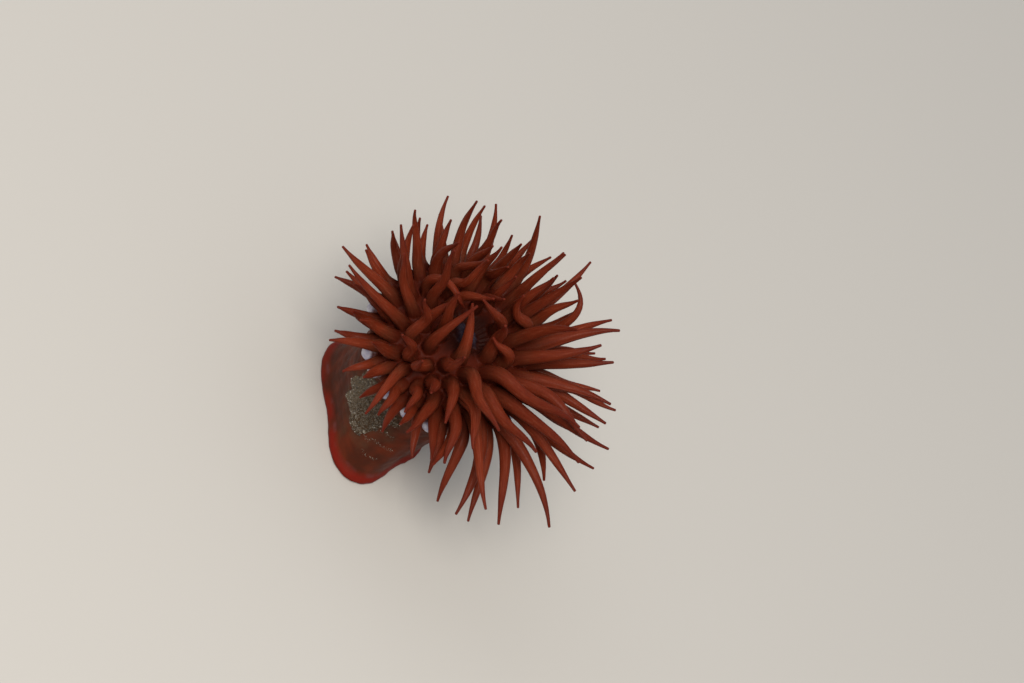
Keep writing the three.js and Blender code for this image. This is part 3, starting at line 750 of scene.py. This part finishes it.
def bodyColor(tree, straight, height, sandy):
    look = fleshLook
    column = blend(within(clouds(straight, "column"), "column"), look["columnDark"], look["column"])
    ragged = height + amounts["rimEdge"] * clouds(straight, "rimEdge")
    rim = 1 - within(ragged, "rim")
    column = blend(rim * within(clouds(straight, "rim"), "rimPatch"), column, look["rim"])
    line = 1 - within(absolute(height - look["limbusHeight"]), "limbus")
    line = line * within(clouds(straight, "limbus"), "limbusPatch")
    column = blend(line * amounts["limbus"], column, look["limbus"])
    slimy = within(stir(sandy, amounts["slimeEdge"], clouds(straight, "slime")), "slime")
    column = blend(slimy * amounts["slime"], column, look["slime"])
    across = stir(apart(tree, straight, 0), amounts["paleSandEdge"], clouds(straight, "paleSand"))
    sandColor = blend(within(across, "paleSand"), look["sand"], look["paleSand"])
    column = blend(sandMask(straight, sandy), column, sandColor)
    fromMiddle = absolute(apart(tree, straight, 0)) + absolute(apart(tree, straight, 1))
    # the crown in painted shade, darker towards the middle where it lies deepest under the tentacles;
    # bluish lips round the mouth
    crown = blend(within(fromMiddle, "shoulder"), look["disc"], look["shoulder"])
    crown = blend(within(fromMiddle, "lips"), look["lips"], crown)
    return blend(onCrown(height), column, crown)


def onCrown(height):
    return between(height, *(crownHeight + rise for rise in fleshLook["edges"]["crown"]))


def sandMask(straight, sandy):
    return within(stir(sandy, amounts["sandEdge"], clouds(straight, "sand")), "sand")


def tentacleColor(share, odd, around):
    look = fleshLook
    shift = stir(stir(share, amounts["oddTone"], odd), amounts["tone"], clouds(around, "tentacle"))
    # darker towards the root: partly the roots' own greyer tint, partly painted shade between the roots
    rooty = blend(within(shift, "root"), look["root"], look["middle"])
    color = blend(within(shift, "tip"), rooty, look["tip"])
    # lighter streaks are painted highlights along the tentacles, darker ones painted shade between them
    streaks = clouds(stretch(around, *look["streakStretch"]), "streaks")
    color = blend(within(streaks, "ridge") * amounts["ridge"], color, look["ridge"])
    color = blend(within(1 - streaks, "stain") * amounts["stain"], color, look["stain"])
    # some tentacles darker at random, in the same dark colour
    return blend(amounts["odd"] * within(odd, "odd"), color, look["stain"])


def fleshMaterial():
    look = fleshLook
    material, tree, shader = newMaterial(
        "flesh", SubsurfaceWeight=0.12, SubsurfaceRadius=(1.0, 0.2, 0.08), SubsurfaceScale=0.0012,
        SpecularIORLevel=0.1, CoatRoughness=0.12, CoatIOR=1.33, IOR=1.38)
    straight, around = attribute(tree, "straight", True), attribute(tree, "around", True)
    share, odd, sandy = (attribute(tree, name) for name in ("share", "odd", "sandy"))
    height, along = apart(tree, straight, 2), apart(tree, around, 2)
    onTentacle, beyondRoot = within(share, "tentacle"), within(share, "bare")
    onBody = (1 - onTentacle) * (1 - onCrown(height))
    sanded = sandMask(straight, sandy) * onBody
    color = bodyColor(tree, straight, height, sandy)
    # the crown's colour, painted shade, runs a little way up each tentacle before its own colours begin
    feed(shader, "Base Color", blend(beyondRoot, color, tentacleColor(share, odd, around)))

    # fine rings round the tentacles, wrinkles on the column, grit where sand sticks: heights in millimetres
    warped = along + look["ringWarp"] * clouds(around, "ringWarp")
    rings = addNode(tree, "Math", {"operation": "SINE"}, {0: warped * (2 * math.pi / look["ringPitch"])})
    ringHeight = (1 - amounts["rings"]) + amounts["rings"] * clouds(around, "rings")
    skinRings = rings * ringHeight * look["ringDepth"]
    wrinkles = clouds(stretch(straight, *look["wrinkleStretch"]), "wrinkles") * look["wrinkleDepth"]
    grit = clouds(straight, "grit") * sanded * look["gritDepth"]
    feed(shader, "Normal", bump(skinRings * onTentacle + wrinkles * onBody + grit, 1.0))
    gloss = stir(look["roughness"], amounts["gloss"], clouds(straight, "gloss"))
    feed(shader, "Roughness", gloss + look["sandRoughness"] * sanded)
    coated = look["tentacleCoat"] * onTentacle + onBody
    feed(shader, "Coat Weight", look["coat"] * (1 - look["sandCoat"] * sanded) * coated)
    return material


makeSkin(fleshMaterial())


# Beads round the rim, under the tentacles
beads = {
    "count": 18, "first": 6, "radius": 1.09, "height": 1.55, "out": 0.14, "swell": 0.2, "stray": 1.5,
    # further turn and size of a few
    "own": {11: (0, 1.25), 12: (10, 1.25), 13: (5, 1.0), 16: (-4, 1.3)},
    "tall": 1.12, "foot": 1.3, "footDepth": 0.55, "skirt": [(1.06, -0.2), (0.98, 0.06)], "firstAngle": 8,
    "steps": 28, "rings": 12, "lump": 0.07, "lumpSize": 0.9, "lumpShift": 5,
    "top": (0.44, 0.42, 0.50), "low": (0.12, 0.035, 0.03), "vein": (0.26, 0.25, 0.38),
    "clouds": (1100, 3), "pits": (2600, 3), "pitDepth": 0.02,  # scale for each metre and detail
    "veins": (0.4, 0.7), "lowEdge": (0.0, 0.5), "lowStir": 0.3,
}


def beadOutline(radius):  # radius and distance out of the rim, from the foot to near the top
    rows = [(beads["foot"] * radius, -beads["footDepth"])]
    rows += [(across * radius, out * radius) for across, out in beads["skirt"]]
    for i in range(1, beads["rings"]):
        a = math.radians(mix(beads["firstAngle"], 90, i / beads["rings"]))
        rows.append((radius * math.cos(a), radius * math.sin(a)))
    return rows


def addBead(bm, rise, number):
    turn, size = beads["own"].get(number, (0, 1))
    radius = beads["radius"] * size * (1 + beads["swell"] * scatter(number, "beadSize"))
    azimuth = beads["first"] + 360 / beads["count"] * (number - 1)
    azimuth = azimuth + beads["stray"] * scatter(number, "beadPlace") + turn
    outward = Matrix.Rotation(math.radians(azimuth), 3, "Z") @ Vector((1, 0, 0))
    centre = outward * (body["collarRadius"] + beads["out"] * radius) + Vector((0, 0, beads["height"]))
    place = crownMatrix @ Matrix.Translation(centre) @ outward.to_track_quat("Z", "Y").to_matrix().to_4x4()
    rows, steps = [], beads["steps"]
    for across, out in beadOutline(radius):
        rows.append([])
        for j in range(steps):
            a = 2 * math.pi * j / steps
            point = Vector((across * math.cos(a), across * math.sin(a) * beads["tall"], out))
            spot = point / beads["lumpSize"] + Vector((0, 0, number * beads["lumpShift"]))
            point *= 1 + beads["lump"] * noise.noise(spot)
            rows[-1].append(bm.verts.new(place @ point))
            rows[-1][-1][rise] = out / radius
    top = bm.verts.new(place @ Vector((0, 0, radius)))
    top[rise] = 1
    bm.faces.new(rows[0][::-1])
    for j in range(steps):
        k = (j + 1) % steps
        for low, high in zip(rows, rows[1:]):
            bm.faces.new((low[j], low[k], high[k], high[j]))
        bm.faces.new((rows[-1][j], rows[-1][k], top))


def beadMaterial():
    material, tree, shader = newMaterial(
        "bead", SubsurfaceWeight=0.25, SubsurfaceRadius=(1.0, 0.7, 0.6), SubsurfaceScale=0.0006,
        Roughness=0.35, CoatWeight=0.5, CoatRoughness=0.1, CoatIOR=1.4)
    rise = attribute(tree, "rise")
    place = addNode(tree, "TexCoord", output=3)
    cloud = grain(place, *beads["clouds"])
    pearl = blend(between(cloud, *beads["veins"]), beads["top"], beads["vein"])
    raised = between(stir(rise, beads["lowStir"], cloud), *beads["lowEdge"])
    feed(shader, "Base Color", blend(raised, beads["low"], pearl))
    feed(shader, "Normal", bump(grain(place, *beads["pits"]), beads["pitDepth"]))
    return material


def makeBeads():
    bm = bmesh.new()
    rise = bm.verts.layers.float.new("rise")
    for number in range(1, beads["count"] + 1):
        addBead(bm, rise, number)
    piece = makeObject(bm, "beads", beadMaterial(), smoothed=True)
    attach(piece, "root")
    print("beads made:", beads["count"])


makeBeads()


# Sand stuck to the column
def columnPoint(azimuth, height):  # on the column's skin, before it is posed
    radius = columnRadius((height - footHeight - seam) / body["columnHeight"])
    radius += relief(radius, height, azimuth)
    return Vector((radius * math.cos(azimuth), radius * math.sin(azimuth), height))


def grainShape():  # the corners and faces that every grain starts from
    bm = bmesh.new()
    bmesh.ops.create_icosphere(bm, subdivisions=1, radius=1)
    shape = [v.co.copy() for v in bm.verts], [[v.index for v in face.verts] for face in bm.faces]
    bm.free()
    return shape


def addGrain(bm, shade, shape, dice, azimuth, height, size, lightest):
    outward = Vector((math.cos(azimuth), math.sin(azimuth), 0))
    spot = poseBody(columnPoint(azimuth, height) + outward * size * (1 - 2 * sand["sink"]))
    stretched = Matrix.Diagonal([size * dice.uniform(*sand["stretch"]) for _ in range(3)])
    axis = Vector([dice.uniform(-1, 1) for _ in range(3)])
    turned = Matrix.Rotation(dice.uniform(0, math.pi), 3, axis) @ stretched
    corners, tone = [], lightest * dice.random()
    for corner in shape[0]:
        corners.append(bm.verts.new(spot + turned @ corner * dice.uniform(*sand["corners"])))
        corners[-1][shade] = tone
    for face in shape[1]:
        bm.faces.new([corners[i] for i in face])


def makeSand():
    bm, dice, shape = bmesh.new(), random.Random(sand["seed"]), grainShape()
    shade = bm.verts.layers.float.new("shade")
    wide, high = sand["scattered"] * sand["wide"] / body["waist"], sand["scattered"] * sand["high"]
    made = 0
    while made < sand["grains"]:
        azimuth = math.radians(sand["azimuth"]) + wide * dice.uniform(-1, 1)
        height = sand["height"] + high * dice.uniform(-1, 1)
        inside = sandAt(azimuth, height)
        if inside > sand["thinning"] * dice.random():
            size = mix(sand["smallest"], sand["largest"], dice.random() ** 2)
            lightest = mix(sand["edgeTone"], sand["middleTone"], smooth(inside / sand["middle"]))
            addGrain(bm, shade, shape, dice, azimuth, height, size, lightest)
            made += 1
    for start, end, level, count in sand["trails"]:
        for _ in range(count):
            height = level + dice.gauss(0, sand["trailWidth"])
            azimuth = math.radians(mix(start, end, dice.random()))
            size = sand["smallest"] * dice.uniform(*sand["trailSizes"])
            addGrain(bm, shade, shape, dice, azimuth, height, size, sand["edgeTone"])
    grains = len(bm.verts) // len(shape[0])
    piece = makeObject(bm, "sand", sandMaterial())
    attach(piece, "root")
    print("sand stuck on:", grains, "grains")


def sandMaterial():
    material, tree, shader = newMaterial("sand", Roughness=0.55, CoatWeight=0.3, CoatRoughness=0.15)
    shade = attribute(tree, "shade")
    dull = blend(between(shade, *sand["dullTones"]), sand["dark"], sand["dull"])
    flecks = grain(addNode(tree, "TexCoord", output=3), sand["fleckScale"], sand["fleckDetail"])
    pale = between(stir(shade, sand["flecks"], flecks), *sand["paleTones"])
    feed(shader, "Base Color", blend(pale, dull, sand["pale"]))
    return material


makeSand()


# Floor, light and camera
view = {  # distance from the aim, width of the picture there, and where the aim is, in metres
    "azimuth": 0, "elevation": 46, "roll": 53, "distance": 0.6, "width": 0.1587,
    "right": 0.00448, "up": 0.0246, "sensor": 36, "clip": 0.05,
}
studio = {
    "floorSize": 1.2, "floorColor": (0.5, 0.48, 0.45, 1), "floorRoughness": 0.8,
    "sky": (0.95, 0.97, 1.0, 1), "skyStrength": 0.52,
    "lights": [  # name, azimuth, elevation, distance and size in metres, power in watts, colour
        ("key", -92, 60, 0.7, 0.35, 4.4, (1.0, 0.94, 0.85)),
        ("fill", 170, 40, 0.8, 0.6, 0.8, (0.95, 0.97, 1.0)),
    ],
}


def makeFloor():
    bm = bmesh.new()
    bmesh.ops.create_grid(bm, x_segments=1, y_segments=1, size=studio["floorSize"] * mm / 2)
    material = newMaterial("floor", BaseColor=studio["floorColor"], Roughness=studio["floorRoughness"])[0]
    makeObject(bm, "floor", material)


def onDome(azimuth, elevation, distance):
    turn, rise = math.radians(azimuth), math.radians(elevation)
    flat = distance * math.cos(rise)
    return Vector((flat * math.cos(turn), flat * math.sin(turn), distance * math.sin(rise)))


def makeLights(aim):
    for name, azimuth, elevation, distance, size, power, color in studio["lights"]:
        light = bpy.data.lights.new(name, "AREA")
        light.shape, light.size, light.energy, light.color = "DISK", size, power, color
        lamp = bpy.data.objects.new(name, light)
        lamp.location = aim + onDome(azimuth, elevation, distance)
        lamp.rotation_euler = (aim - lamp.location).to_track_quat("-Z", "Y").to_euler()
        bpy.context.collection.objects.link(lamp)
    world = bpy.data.worlds.new("studio")
    world.use_nodes = True
    sky = world.node_tree.nodes["Background"]
    sky.inputs["Color"].default_value = studio["sky"]
    sky.inputs["Strength"].default_value = studio["skyStrength"]
    bpy.context.scene.world = world


def makeCamera():
    turn, rise = math.radians(view["azimuth"]), math.radians(view["elevation"])
    back = Vector((math.sin(turn) * math.cos(rise), -math.cos(turn) * math.cos(rise), math.sin(rise)))
    right = Vector((math.cos(turn), math.sin(turn), 0))
    up = back.cross(right)
    target = right * view["right"] + up * view["up"]
    roll = math.radians(view["roll"])
    lensUp = up * math.cos(roll) - right * math.sin(roll)
    lensRight = lensUp.cross(back)
    camera = bpy.data.cameras.new("camera")
    camera.sensor_width = view["sensor"]
    camera.lens = camera.sensor_width * view["distance"] / view["width"]
    eye = bpy.data.objects.new("camera", camera)
    turned = Matrix((lensRight, lensUp, back)).transposed().to_4x4()
    eye.matrix_world = Matrix.Translation(target + back * view["distance"]) @ turned
    camera.clip_start = view["clip"]
    bpy.context.collection.objects.link(eye)
    bpy.context.scene.camera = eye


makeFloor()
makeLights((cadBox[0] + cadBox[1]) / 2)
makeCamera()
bpy.context.scene.view_settings.view_transform = "Standard"
print("stage set")
